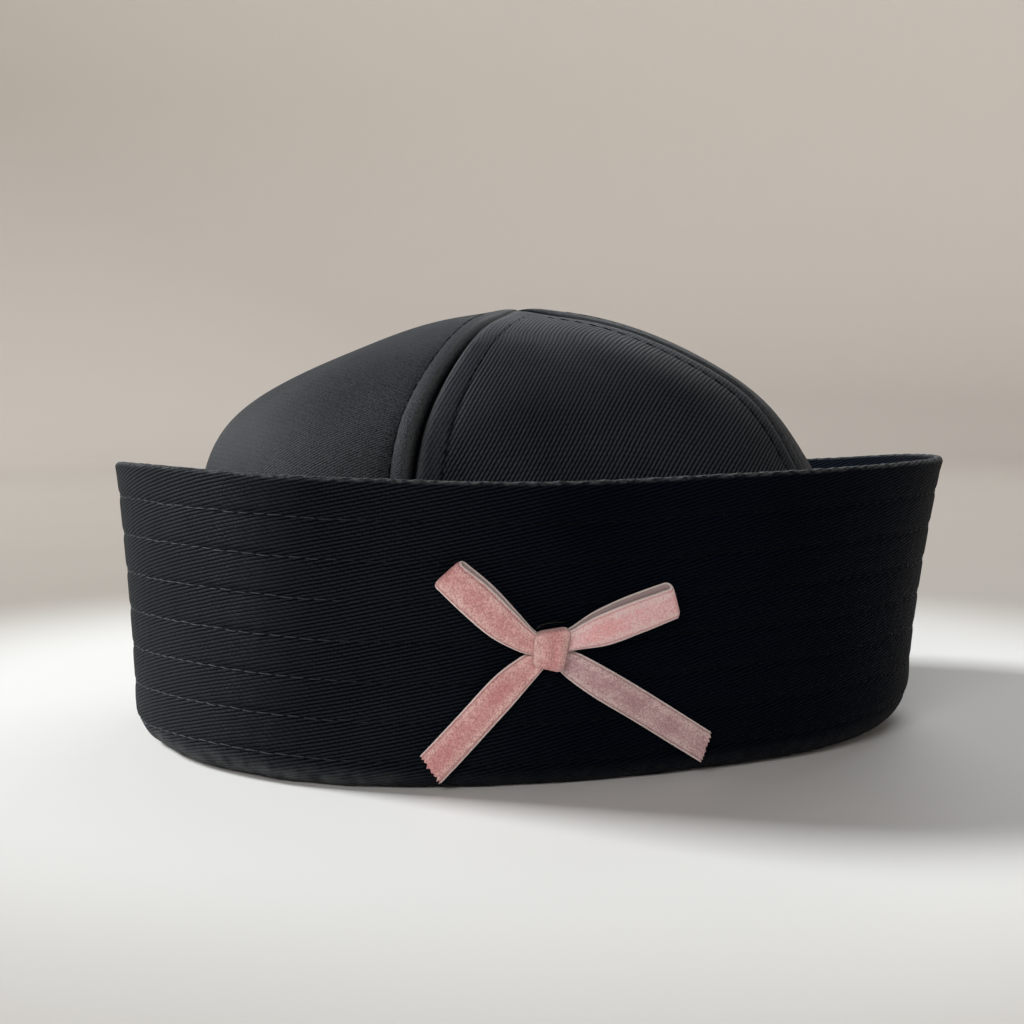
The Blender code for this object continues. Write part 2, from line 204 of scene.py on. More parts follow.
def around(rows, column, degrees):
    """Smooth values of one column, read round the whole circle of rows."""
    places = np.array([row.direction for row in rows], float)
    values = np.array([getattr(row, column) for row in rows])
    degrees = (np.asarray(degrees, float) - places[0]) % 360.0 + places[0]
    index = np.searchsorted(places, degrees, side="right") - 1

    def knot(i):
        turns, place = np.divmod(i, len(rows))
        return places[place] + 360.0 * turns, values[place]

    before, here, there, after = (knot(index + i) for i in (-1, 0, 1, 2))
    span = there[0] - here[0]
    slope_here = (there[1] - before[1]) / (there[0] - before[0]) * span
    slope_there = (after[1] - here[1]) / (after[0] - here[0]) * span
    return hermite((degrees - here[0]) / span, here[1], slope_here, there[1], slope_there)


def along(rows, column, share):
    """Smooth values of one column, read from the first row (0) to the last (1)."""
    values = np.array([getattr(row, column) for row in rows])
    last = len(rows) - 1
    place = np.clip(share, 0.0, 1.0) * last
    index = np.minimum(place.astype(int), last - 1)
    before, here, there, after = (values[np.clip(index + i, 0, last)] for i in (-1, 0, 1, 2))
    return hermite(place - index, here, (there - before) / 2, there, (after - here) / 2)


def ripples(seed, count, lobes, per_metre):
    """Soft unevenness, about 1 at most: waves with whole numbers of lobes round the cap."""
    rng = np.random.default_rng(seed)
    waves = [(rng.integers(lobes[0], lobes[1] + 1), rng.uniform(*per_metre),
              rng.uniform(0, 2 * math.pi), rng.uniform(0.5, 1.0)) for _ in range(count)]

    def value(degrees, way):
        angle = np.radians(degrees)
        return sum(size * np.sin(angle * turns + 2 * math.pi * density * way + phase)
                   for turns, density, phase, size in waves) / math.sqrt(count)

    return value


# ---- places on the cap

def on_cap(degrees, radius, height):
    """Points at directions, radii and heights."""
    angle = np.radians(degrees)
    x = CENTRE[0] + radius * np.sin(angle)
    y = CENTRE[1] - radius * np.cos(angle)
    return np.stack(np.broadcast_arrays(x, y, height), axis=-1)


def outward(degrees, out, up):
    """Vectors that point out by one amount and up by another."""
    angle = np.radians(degrees)
    return np.stack(np.broadcast_arrays(out * np.sin(angle), -out * np.cos(angle), up), axis=-1)


def oval_radius(degrees):
    angle = np.radians(degrees)
    return FOLD_RADIUS + sum(wave.cosine * np.cos(wave.lobes * angle)
                             + wave.sine * np.sin(wave.lobes * angle) for wave in OVAL)


def brim_wall(degrees, height):
    """Radius of the brim's outer face, and how fast it grows upwards."""
    rim, lean, roll = (around(BRIM, column, degrees) for column in ("rim", "lean", "roll"))
    rise = np.maximum(height - roll, 0.0) / (rim - roll)
    return (oval_radius(degrees) + lean * rise**LEAN_CURVE,
            lean * LEAN_CURVE * rise**(LEAN_CURVE - 1) / (rim - roll))


def on_brim(right, up, lift):
    """Points of the bow: right and up from its knot, and lift off the brim's cloth."""
    knot_radius, _ = brim_wall(BOW_DIRECTION, BOW_HEIGHT)
    degrees = BOW_DIRECTION + np.degrees(right / knot_radius)
    height = BOW_HEIGHT + up
    radius, slope = brim_wall(degrees, height)
    tilt = np.arctan(slope)
    return on_cap(degrees, radius + lift * np.cos(tilt), height - lift * np.sin(tilt))


class BrimCloth:
    """Outer face of the cuff, by direction and by way down from the rim, to the ledge."""

    def __init__(self, degrees):
        self.degrees = degrees
        column = degrees[:, None]
        rim, roll = (around(BRIM, name, column) for name in ("rim", "roll"))
        oval = oval_radius(column)
        tuck = np.minimum(roll, ROLL_DEPTH_MOST)
        top = rim - BRIM_CLOTH / 2
        wall = top + (roll - top) * np.linspace(0, 1, 70)
        radius, slope = brim_wall(column, wall)
        length = np.hypot(1, slope)
        bend = np.linspace(math.pi / 2, 0, 26)[None, 1:]
        out, down = np.sin(bend) / tuck, np.cos(bend) / roll
        bent = np.hypot(out, down)
        inward = np.linspace(0, 1, 9)[None, 1:]
        flat = oval - tuck + (tuck - LEDGE_WIDTH) * inward
        self.radius = np.hstack([radius, oval - tuck * (1 - np.sin(bend)), flat])
        self.height = np.hstack([wall, roll * (1 - np.cos(bend)), 0 * flat])
        self.out = np.hstack([1 / length, out / bent, 0 * flat])
        self.up = np.hstack([-slope / length, -down / bent, 0 * flat - 1])
        steps = np.hypot(np.diff(self.radius, axis=1), np.diff(self.height, axis=1))
        self.way = np.hstack([0 * column, np.cumsum(steps, axis=1)])
        self.length = self.way[:, -1:]

    def read(self, way):
        """Radius, height and outward normal at ways, one row of them per direction."""
        return [np.stack([np.interp(w, known, line)
                          for w, known, line in zip(way, self.way, lines)])
                for lines in (self.radius, self.height, self.out, self.up)]

    def points(self, way, lift):
        """Points at ways, lifted off the face."""
        radius, height, out, up = self.read(way)
        return on_cap(self.degrees[:, None], radius + out * lift, height + up * lift)


def way_along(points):
    """Way along a line of points, from the first to each."""
    steps = np.linalg.norm(np.diff(points, axis=0), axis=1)
    return np.concatenate([[0.0], np.cumsum(steps)])


def way_round(degrees):
    """Way round the fold, from the first direction to each."""
    return way_along(on_cap(degrees, oval_radius(degrees), 0.0))


# ---- brim

BRIM_SWAY = ripples(3, 9, (2, 9), (-9, 9))
BRIM_PUCKER = ripples(5, 26, (60, 190), (-120, 120))
FOLD_CRUSH = ripples(8, 14, (14, 46), (-60, 60))
SWAY_DEPTH = 0.22 * MM
PUCKER_DEPTH = 0.035 * MM
RIM_PUCKER_DEPTH = 0.10 * MM
DIP_VARIES = 0.22  # share of a row's dip that puckers
DIP_STEP = 0.013  # sets the puckers of one row's dip apart from the next
CRUSH_DEPTH = 0.17 * MM  # of the soft dents at the fold, which are most at the left
CRUSH_WAY = 66 * MM
CRUSH_REACH = 5 * MM
CRUSH_MIDDLE = -78
CRUSH_SPREAD = 34
CRUSH_ALL_ROUND = 0.35
FLAT_WAY = 76 * MM  # the relief fades out before the ledge
FLAT_FADE = 6 * MM
EDGE_FADE = 2 * MM
INNER_SHARE = 0.8  # of the relief, on the inner face
INNER_TURN = 1.7


def beside(degrees, middle, reach):
    """1 at a direction, fading out round the cap to either side."""
    return np.exp(-(((degrees - middle + 180) % 360 - 180) / reach)**2)


def row_way(row, degrees):
    """Way down from the rim to a row of stitches."""
    left = beside(degrees, ROW_SPREAD_MIDDLE, ROW_SPREAD_REACH)
    return ROW_PITCH * row - BRIM_CLOTH / 2 + ROW_SPREAD * (row - 2) * left


def quilting(degrees, way):
    """Lift of the brim's face from its rows of stitches and soft cloth."""
    lift = SWAY_DEPTH * BRIM_SWAY(degrees, way) + PUCKER_DEPTH * BRIM_PUCKER(degrees, way)
    for row in range(1, ROW_COUNT + 1):
        away = way - row_way(row, degrees)
        depth = ROW_DIP * (1 + DIP_VARIES * BRIM_PUCKER(degrees, 0.0 * way + row * DIP_STEP))
        lift = lift - depth * np.exp(-(away / ROW_DIP_REACH)**2)
    low = np.exp(-((way - CRUSH_WAY) / CRUSH_REACH)**2)
    left = beside(degrees, CRUSH_MIDDLE, CRUSH_SPREAD)
    lift = lift + CRUSH_DEPTH * FOLD_CRUSH(degrees, way) * low * (CRUSH_ALL_ROUND + left)
    return lift * np.clip((FLAT_WAY - way) / FLAT_FADE, 0, 1)


def inner_quilting(degrees, way):
    """Lift of the brim's inner face, outwards too: weaker, and a little out of step."""
    return INNER_SHARE * quilting(degrees + INNER_TURN, way)


def brim_stations(cloth, offsets, steps):
    """Ways of the face's corners: dense beside each row, then even to the ledge's edge."""
    column = cloth.degrees[:, None]
    ways = [way * MM + 0 * column for way in RIM_STATIONS]
    for row in range(1, ROW_COUNT + 1):
        ways += [row_way(row, column) + offset * MM for offset in offsets
                 if row < ROW_COUNT or offset < LAST_STATION]
    rest = np.linspace(0, 1, steps + 1)[None, 1:]
    return np.hstack([*ways, ways[-1] + (cloth.length - ways[-1]) * rest])


def build_brim(material):
    """The cuff: a ring of sections from the ledge up its outer face and down inside."""
    degrees = np.linspace(-180, 180, BRIM_COLUMNS + 1)
    cloth = BrimCloth(degrees)
    column = degrees[:, None]
    outer_way = brim_stations(cloth, OUTER_STATIONS, OUTER_FOLD_STEPS)
    inner_way = brim_stations(cloth, INNER_STATIONS, INNER_FOLD_STEPS)

    lift = quilting(column, outer_way) * np.clip(outer_way / EDGE_FADE, 0, 1)
    outer = cloth.points(outer_way, lift)
    outer[..., 2] = np.maximum(outer[..., 2], 0.0)  # the table stops the cloth
    lift = inner_quilting(column, inner_way) * np.clip(inner_way / EDGE_FADE, 0, 1)
    inner = cloth.points(inner_way, lift - BRIM_CLOTH)

    turn = np.linspace(0, math.pi, RIM_STEPS + 2)[None, 1:-1]
    first_out, first_up = cloth.out[:, :1], cloth.up[:, :1]
    half = BRIM_CLOTH / 2
    side = half + RIM_PUCKER_DEPTH * BRIM_PUCKER(column, 0 * turn) * np.sin(turn)
    rim_radius = (cloth.radius[:, :1] - half * first_out
                  + side * (np.cos(turn) * first_out - np.sin(turn) * first_up))
    rim_height = (cloth.height[:, :1] - half * first_up
                  + side * (np.cos(turn) * first_up + np.sin(turn) * first_out))
    rim = on_cap(column, rim_radius, rim_height)

    points = np.concatenate([outer[:, ::-1], rim, inner], axis=1)
    way = np.hstack([outer_way[:, ::-1], -half * turn + 0 * column,
                     -half * math.pi - inner_way])
    u = way_round(degrees)[:, None] + 0 * way
    uv = np.stack([u, -way], axis=-1)
    uv = np.concatenate([uv, uv[:, :1]], axis=1)
    return cloth_tube("brim_twill", points[:-1], uv, material)


# ---- crown

CROWN_SWAY = ripples(21, 10, (3, 11), (-14, 14))
CROWN_PUCKER = ripples(23, 22, (50, 150), (-210, 210))
CROWN_SWAY_DEPTH = 0.30 * MM
CROWN_SWAY_START = 20 * MM  # distance from a seam at which the cloth sways in full
CROWN_RISE = 0.14  # way from hem to top, for the ripples, in metres
TOPSTITCH_REACH = 0.28  # of the puckers beside the topstitching, in strips


def dome(degrees, climb):
    """Even dome at directions and climbs: radius, height and outward normal."""
    base = oval_radius(degrees) - CROWN_INSET
    rise = CROWN_TOP - HEM_HEIGHT
    angle = math.pi / 2 * climb
    across = np.maximum(np.cos(angle), 0.0)**(2 / ROUNDNESS)
    up = np.sin(angle)**(2 / ROUNDNESS)
    out = across**(ROUNDNESS - 1) / base
    lift = up**(ROUNDNESS - 1) / rise
    length = np.hypot(out, lift)
    return base * across, HEM_HEIGHT + rise * up, out / length, lift / length


def swell_at(points):
    """How far the swells and dents move the crown at points of the even dome."""
    total = 0.0
    for swell in SWELLS:
        level = (swell.height - HEM_HEIGHT) / (CROWN_TOP - HEM_HEIGHT)
        share = (1 - level**ROUNDNESS)**(1 / ROUNDNESS)
        radius = (oval_radius(swell.direction) - CROWN_INSET) * share
        away = points - on_cap(swell.direction, radius, swell.height)
        sideways = np.hypot(away[..., 0], away[..., 1]) / swell.reach_around
        total = total + swell.lift * np.exp(-sideways**2 - (away[..., 2] / swell.reach_up)**2)
    return total


def arc(gore):
    """Middle and width of a gore in degrees, and half its width in radians."""
    span = gore.right_seam - gore.left_seam
    return (gore.left_seam + gore.right_seam) / 2, span, math.radians(span / 2)


def seam_distance(gore, share, climb):
    """Distance from the nearer seam, and the width of the strip beside it."""
    half = arc(gore)[2]
    away = dome(gore.left_seam, climb)[0] * np.sin(half * (1 - np.abs(2 * share - 1)))
    return away, np.where(share < 0.5, gore.left_strip, gore.right_strip)


def flat_pattern(points, up, radius):
    """Flat map of a gore: its rows of points as arcs that bend as in the cloth."""
    steps = np.linalg.norm(np.diff(points, axis=1), axis=2)
    length = np.hstack([0 * up, np.cumsum(steps, axis=1)])
    length = length - length[:, length.shape[1] // 2, None]
    bend = np.clip(-np.gradient(radius[:, 0], up[:, 0]), 0, 1)[:, None] / radius
    turn = length * np.minimum(bend, 1 / SAME_PLACE)
    return np.stack([length * np.sinc(turn / math.pi),
                     up + length * turn / 2 * np.sinc(turn / 2 / math.pi)**2], axis=-1)


def gore_shares(gore, half_width):
    """Places of a gore's columns across it, 0 to 1, dense beside either seam."""
    steps = np.array([step.strips for step in SEAM_PROFILE])
    most = SEAM_STRIP_SHARE * half_width / steps[-1]
    near = np.minimum(gore.left_strip, most) * steps
    far = 2 * half_width - np.minimum(gore.right_strip, most) * steps[::-1]
    spread = np.linspace(0, 1, GORE_MIDDLE_COLUMNS + 1)[1:-1]
    middle = near[:, -1:] + (far[:, :1] - near[:, -1:]) * spread
    return np.hstack([near, middle, far]) / (2 * half_width)


def gore_points(gore, share, climb, depth):
    """Points of one gore: share across it, climb from hem to top, depth into the cloth."""
    middle, span, half = arc(gore)
    clear = on_cap(middle, SEAM_GAP / 2 / math.sin(half), 0.0) - on_cap(middle, 0.0, 0.0)
    degrees = gore.left_seam + span * share
    radius, height, out, lift = dome(degrees, climb)
    from_seam, strip = seam_distance(gore, share, climb)
    strips, lifts = zip(*SEAM_PROFILE)
    fade = np.minimum(radius / SEAM_FADE_RADIUS, 1.0)
    strength = np.where(share < 0.5, gore.left_roll, gore.right_roll)
    place = from_seam / strip
    shape = np.interp(place, strips, lifts)
    relief = np.where(shape > 0, shape * strength, shape) * fade
    tight = np.exp(-((place - 1) / TOPSTITCH_REACH)**2)
    way = climb * CROWN_RISE
    away = np.minimum(from_seam / CROWN_SWAY_START, 1)
    uneven = (CROWN_SWAY_DEPTH * CROWN_SWAY(degrees, way) * away
              + PUCKER_DEPTH * CROWN_PUCKER(degrees, way) * tight) * fade
    reach = radius / PUFF_RADIUS
    puff = gore.puff * (1 - np.abs(2 * share - 1)**3) * reach * np.exp(1 - reach)
    apex = APEX_LIFT * np.exp(-(radius / APEX_RADIUS)**2)
    move = (relief + uneven + puff + apex + swell_at(on_cap(degrees, radius, height))
            - depth * CROWN_CLOTH)
    rise = (height - HEM_HEIGHT) / (CROWN_TOP - HEM_HEIGHT)
    lean = np.array([*CROWN_LEAN, 0.0]) * (rise**2)[..., None]
    return on_cap(degrees, radius + out * move, height + lift * move) + lean + clear


def build_gore(gore, material):
    """One quarter of the crown as a closed cloth."""
    climb = np.linspace(0, 1, GORE_ROWS + 1)[:, None]
    middle, _, half = arc(gore)
    half_width = np.maximum(dome(middle, climb)[0] * half, SAME_PLACE)
    share = gore_shares(gore, half_width)
    outer = gore_points(gore, share, climb + 0 * share, 0.0)
    inner = gore_points(gore, share, climb + 0 * share, 1.0)
    up = way_along(gore_points(gore, 0.5 + 0 * climb, climb, 0.0)[:, 0])[:, None]
    away, strip = seam_distance(gore, share, climb)
    maps = {"cloth": flat_pattern(outer, up, half_width / half),
            "seam": np.stack([away, away / strip], axis=-1)}
    return cloth_slab("crown_twill_" + gore.name, outer, inner, maps, material)


# ---- bow

def ribbon_points(rows, share, across, lift, bend):
    """Points of a ribbon: share of its length, across it, lift, and past its end."""
    start, end = np.maximum(share - AIM_SHARE, 0.0), np.minimum(share + AIM_SHARE, 1.0)
    ahead = np.stack([along(rows, name, end) - along(rows, name, start)
                      for name in ("right", "up")], axis=-1)
    ahead = unit(ahead)
    sideways = across * along(rows, "width", share)
    right = along(rows, "right", share) - ahead[..., 1] * sideways + ahead[..., 0] * bend
    up = along(rows, "up", share) + ahead[..., 0] * sideways + ahead[..., 1] * bend
    return on_brim(right, up, lift)


def ribbon_section():
    """Places across a ribbon, and its half thickness at each."""
    across = np.sin(np.linspace(-math.pi / 2, math.pi / 2, RIBBON_COLUMNS + 1)) / 2
    across = 0.6 * across + 0.4 * np.linspace(-0.5, 0.5, RIBBON_COLUMNS + 1)
    return across[None, :], RIBBON / 2 * (1 - 0.72 * np.abs(2 * across[None, :])**7)


def ribbon_slab(name, outer, inner, across, material):
    """A ribbon, mapped by the distance from its nearer edge and by the way along it."""
    way = way_along(outer[:, RIBBON_COLUMNS // 2])[:, None]
    edge = (0.5 - np.abs(across)) * RIBBON_WIDTH
    maps = {"cloth": np.stack([edge + 0 * way, way + 0 * across], axis=-1)}
    return cloth_slab(name, outer, inner, maps, material, UNDERSIDE)


def fray(seed, across, length):
    """Uneven, saw-toothed reach of a cut end, at places across it."""
    rng = np.random.default_rng(seed)
    teeth = np.sin(np.arange(across.shape[1]) * 1.9) + rng.normal(0, 0.4, across.shape)
    return length * teeth * rng.uniform(0.3, 1, across.shape)


def pleats(share, across, phase):
    """Lift of the folds that the knot gathers, fading along the ribbon."""
    return PLEAT * np.sin(across * PLEAT_TURN + phase) * np.exp(-(share / PLEAT_REACH)**2)


def build_tail(name, rows, cut_slant, seed, material):
    """A free end of the ribbon, lying on the brim, cut at a slant and frayed."""
    across, half = ribbon_section()
    share = np.linspace(0, 1, TAIL_ROWS + 1)[:, None]
    grid = share + 0 * across
    curl = CURL * np.sin(grid * 9 + seed) * (2 * across)**2 * np.sin(math.pi * grid)
    middle = (GAP + along(rows, "lift", grid) + RIBBON / 2 + curl
              + pleats(grid, across, seed) + PLEAT * np.exp(-(grid / PLEAT_REACH)**2))
    end = np.clip((grid - FRAYED_SHARE) / (1 - FRAYED_SHARE), 0, 1)
    bend = cut_slant * across * grid + end * fray(seed, across, FRAY)
    outer = ribbon_points(rows, grid, across, middle + half, bend)
    inner = ribbon_points(rows, grid, across, middle - half, bend)
    return ribbon_slab(name, outer, inner, across, material)


def build_loop(name, rows, layer_shift, material):
    """A loop of the bow: the ribbon runs out along the brim, bends and comes back."""
    across, half = ribbon_section()
    v = np.linspace(0, 1, LOOP_ROWS + 1)[:, None] + 0 * across
    bend_share = 1 - 2 * LOOP_LAYER_SHARE
    share = np.clip(np.minimum(v, 1 - v) / LOOP_LAYER_SHARE, 0, 1)
    turn = np.clip((v - LOOP_LAYER_SHARE) / bend_share, 0, 1) * math.pi
    radius = LOOP_BEND + along(rows, "lift", share) / 2
    centre = GAP + RIBBON / 2 + radius + pleats(share, across, 10 * layer_shift)
    slid = across + layer_shift * share * (1 - np.cos(turn)) / 2
    outer, inner = (ribbon_points(rows, share, slid, centre - (radius + aside) * np.cos(turn),
                                  (radius + aside) * np.sin(turn)) for aside in (half, -half))
    return ribbon_slab(name, outer, inner, across, material)


def build_knot(material):
    """The wrapped middle of the bow: a pillow on the brim, wider at its top."""
    bm = bmesh.new()
    bmesh.ops.create_cube(bm, size=1.0)
    bmesh.ops.bevel(bm, geom=bm.edges[:], offset=0.24, segments=8, affect="EDGES", profile=0.5)
    bmesh.ops.triangulate(bm, faces=[f for f in bm.faces if len(f.verts) > 4])
    bmesh.ops.subdivide_edges(bm, edges=[e for e in bm.edges if e.calc_length() > 0.3],
                              cuts=12, use_grid_fill=True)
    corners = [Vector(corner) * MM for corner in KNOT_CORNERS]
    layer = bm.loops.layers.uv.new("cloth")
    for vert in bm.verts:
        a, b, c = (part + 0.5 for part in vert.co)
        spot = corners[0].lerp(corners[1], a).lerp(corners[3].lerp(corners[2], a), b)
        crease = KNOT_CREASE * math.sin(a * 17 + b * 1.5) * math.sin(math.pi * b)
        lift = GAP + c * KNOT_DEPTH + crease * max(c - 0.5, 0) * 2
        vert.co = on_brim(spot.x, spot.y, lift)
        for loop in vert.link_loops:
            loop[layer].uv = (min(a, 1 - a) * RIBBON_WIDTH + KNOT_HEM, b * KNOT_LENGTH)
    return finish_mesh(bm, "bow_knot_velvet", material)


# ---- mesh helpers

def add_object(name, data):
    thing = bpy.data.objects.new(name, data)
    bpy.context.scene.collection.objects.link(thing)
    return thing


def finish_mesh(bm, name, material):
    """Make a shown object of a bmesh, with its faces turned outwards."""
    bmesh.ops.remove_doubles(bm, verts=bm.verts, dist=SAME_PLACE)
    bmesh.ops.dissolve_degenerate(bm, edges=bm.edges, dist=SAME_PLACE / 10)
    bm.normal_update()
    bmesh.ops.recalc_face_normals(bm, faces=bm.faces)
    mesh = bpy.data.meshes.new(name)
    bm.to_mesh(mesh)
    bm.free()
    mesh.shade_smooth()
    mesh.materials.append(material)
    return add_object(name, mesh)


def mesh_from(name, points, faces, maps, material):
    """Make an object from points, quads and maps with a place for each corner."""
    mesh = bpy.data.meshes.new(name)
    mesh.from_pydata(points.reshape(-1, 3).tolist(), [], faces.tolist())
    for title, places in maps.items():
        corners = np.ascontiguousarray(places, float).ravel()
        mesh.uv_layers.new(name=title).data.foreach_set("uv", corners)
    bm = bmesh.new()
    bm.from_mesh(mesh)
    bpy.data.meshes.remove(mesh)
    return finish_mesh(bm, name, material)


def quads(corners):
    """Corner numbers of the quads of a grid."""
    return np.stack([corners[:-1, :-1], corners[1:, :-1], corners[1:, 1:], corners[:-1, 1:]],
                    axis=-1).reshape(-1, 4)


def closed(corners):
    """A grid with its first column again at its end."""
    return np.hstack([corners, corners[:, :1]])


def cloth_tube(name, points, uv, material):
    """Closed ring of closed sections; uv has one more row and column than points."""
    rows, columns = points.shape[:2]
    number = np.arange(rows * columns).reshape(rows, columns)
    number = closed(np.vstack([number, number[:1]]))
    place = np.arange(uv.shape[0] * uv.shape[1]).reshape(uv.shape[:2])
    maps = {"cloth": uv.reshape(-1, 2)[quads(place)]}
    return mesh_from(name, points, quads(number), maps, material)


def cloth_slab(name, outer, inner, maps, material, under_shift=0.0):
    """Closed sheet between an outer and an inner grid of the same size, with its maps."""
    rows, columns = outer.shape[:2]
    count = rows * columns
    top = np.arange(count).reshape(rows, columns)
    under = top + count
    faces, places = [quads(top), quads(under)[:, ::-1]], [quads(top), quads(top)[:, ::-1]]
    for edge in (np.s_[0, :], np.s_[-1, :], np.s_[:, 0], np.s_[:, -1]):
        faces.append(quads(np.stack([top[edge], under[edge]])))
        places.append(quads(np.stack([top[edge], top[edge]])))
    points = np.concatenate([outer.reshape(-1, 3), inner.reshape(-1, 3)])
    corners = {}
    for title, grid in maps.items():
        parts = [grid.reshape(-1, 2)[place] for place in places]
        parts[1] = parts[1] + np.array([0.0, under_shift])
        corners[title] = np.concatenate(parts)
    return mesh_from(name, points, np.concatenate(faces), corners, material)


# ---- stitches

THREAD_SIDES = 6
SKEW = 0.03  # of a stitch from its row, in radians
STITCH_SINK = (-0.05, 0.03)  # mm
TACK_LENGTH = 2.1 * MM
# Corners of the thread that tacks the bow: right, up and lift from the knot, in mm.
TACK = ((-3.4, 4.3, 1.2), (-2.2, 5.3, 1.5), (-0.6, 5.75, 1.6), (1.2, 5.9, 1.5), (2.8, 5.7, 1.2))
# Along a stitch: place in its length, share of its thickness, and lift in mm.
THREAD_BULGE = ((-0.5, 0.5, -0.20), (-0.40, 0.85, -0.03), (-0.2, 1.0, 0.05), (0.0, 1.0, 0.08),
                (0.2, 1.0, 0.05), (0.40, 0.85, -0.03), (0.5, 0.5, -0.20))


def build_stitches(name, rows, length, material):
    """Capsules of thread from rows of centres, ways that they run and normals of the cloth."""
    centres, tangents, normals = (np.concatenate(part) for part in zip(*rows))
    rng = np.random.default_rng(len(centres))
    skew = rng.normal(0, SKEW, (len(centres), 1))
    tangents = unit(tangents + skew * np.cross(normals, tangents))
    sideways = np.cross(normals, tangents)
    length = length * rng.uniform(0.9, 1.04, (len(centres), 1))
    sink = rng.uniform(*STITCH_SINK, (len(centres), 1)) * MM
    rings = []
    turn = np.arange(THREAD_SIDES) * 2 * math.pi / THREAD_SIDES
    for place, girth, rise in THREAD_BULGE:
        middle = centres + tangents * (place * length) + normals * (rise * MM + sink)
        rings.append(middle[:, None] + THREAD / 2 * girth
                     * (np.cos(turn)[None, :, None] * sideways[:, None]
                        + np.sin(turn)[None, :, None] * normals[:, None]))
    points = np.stack(rings, axis=1)
    count, stations = points.shape[:2]
    size = stations * THREAD_SIDES
    number = np.arange(size).reshape(stations, THREAD_SIDES)
    one = [*quads(closed(number)), number[0, ::-1], number[-1]]
    faces = [[int(i) + k * size for i in face] for k in range(count) for face in one]
    mesh = bpy.data.meshes.new(name)
    mesh.from_pydata(points.reshape(-1, 3).tolist(), [], faces)
    mesh.shade_smooth()
    mesh.materials.append(material)
    return add_object(name, mesh)


def unit(vectors):
    return vectors / np.linalg.norm(vectors, axis=-1, keepdims=True)


def brim_stitches(name, inside, thread):
    """The rows of stitches on one face of the brim, less those on the floor."""
    fine = np.linspace(-180, 180, 1441)
    total = way_round(fine)
    rng = np.random.default_rng(31 + inside)
    rows = []
    for row in range(1, ROW_COUNT + 1):
        start = rng.uniform(0, STITCH_PITCH)
        count = int(total[-1] / STITCH_PITCH)
        middle = start + np.arange(count) * total[-1] / count
        middle = (middle + rng.uniform(-0.1, 0.1, count) * MM) % total[-1]
        degrees = np.interp(middle, total, fine)
        way = row_way(row, degrees[:, None]) + rng.uniform(-0.17, 0.17, (count, 1)) * MM

        def point(at):
            if inside:
                lift = inner_quilting(at[:, None], way) - BRIM_CLOTH
            else:
                lift = quilting(at[:, None], way)
            return BrimCloth(at).points(way, lift)[:, 0]

        centre, ahead, behind = point(degrees), point(degrees + 0.4), point(degrees - 0.4)
        out, up = BrimCloth(degrees).read(way)[2:]
        normal = outward(degrees[:, None], out, up)[:, 0] * (-1 if inside else 1)
        shown = (centre[:, 2] > THREAD) | inside
        rows.append((centre[shown], unit(ahead - behind)[shown], normal[shown]))
    return build_stitches(name, rows, STITCH_LENGTH, thread)


def crown_stitches(name, thread):
    """Topstitching along both sides of every seam of the crown."""
    rows = []
    fine = np.linspace(0.02, 0.93, 400)
    for gore in GORES:
        _, span, half = arc(gore)
        for side, strip in enumerate((gore.left_strip, gore.right_strip)):
            radius = dome(gore.left_seam + span * side, fine)[0]
            inward = np.arcsin(np.minimum(strip / radius, 0.9)) / half / 2
            share = inward if side == 0 else 1 - inward
            line = gore_points(gore, share, fine, 0.0)
            way = way_along(line)
            count = int(way[-1] / STITCH_PITCH)
            at = (np.arange(count) + 0.5) * way[-1] / count
            climb = np.interp(at, way, fine)
            share = np.interp(at, way, share)
            centre = gore_points(gore, share, climb, 0.0)
            ahead = gore_points(gore, share, climb + 0.004, 0.0)
            beside = gore_points(gore, share + 0.004, climb, 0.0)
            head = unit(ahead - centre)
            rows.append((centre, head, unit(np.cross(beside - centre, head))))
    return build_stitches(name, rows, STITCH_LENGTH, thread)


def tack_stitches(name, thread):
    """The dark thread that tacks the bow to the brim, over its knot."""
    right, up, lift = np.array(TACK).T * MM
    line = on_brim(right, up, lift)
    centres = (line[1:] + line[:-1]) / 2
    heads = unit(line[1:] - line[:-1])
    away = on_brim(right, up, lift + MM) - line
    faces = unit(np.cross(heads, np.cross(unit(away[1:]), heads)))
    return build_stitches(name, [(centres, heads, faces)], TACK_LENGTH, thread)


# ---- materials

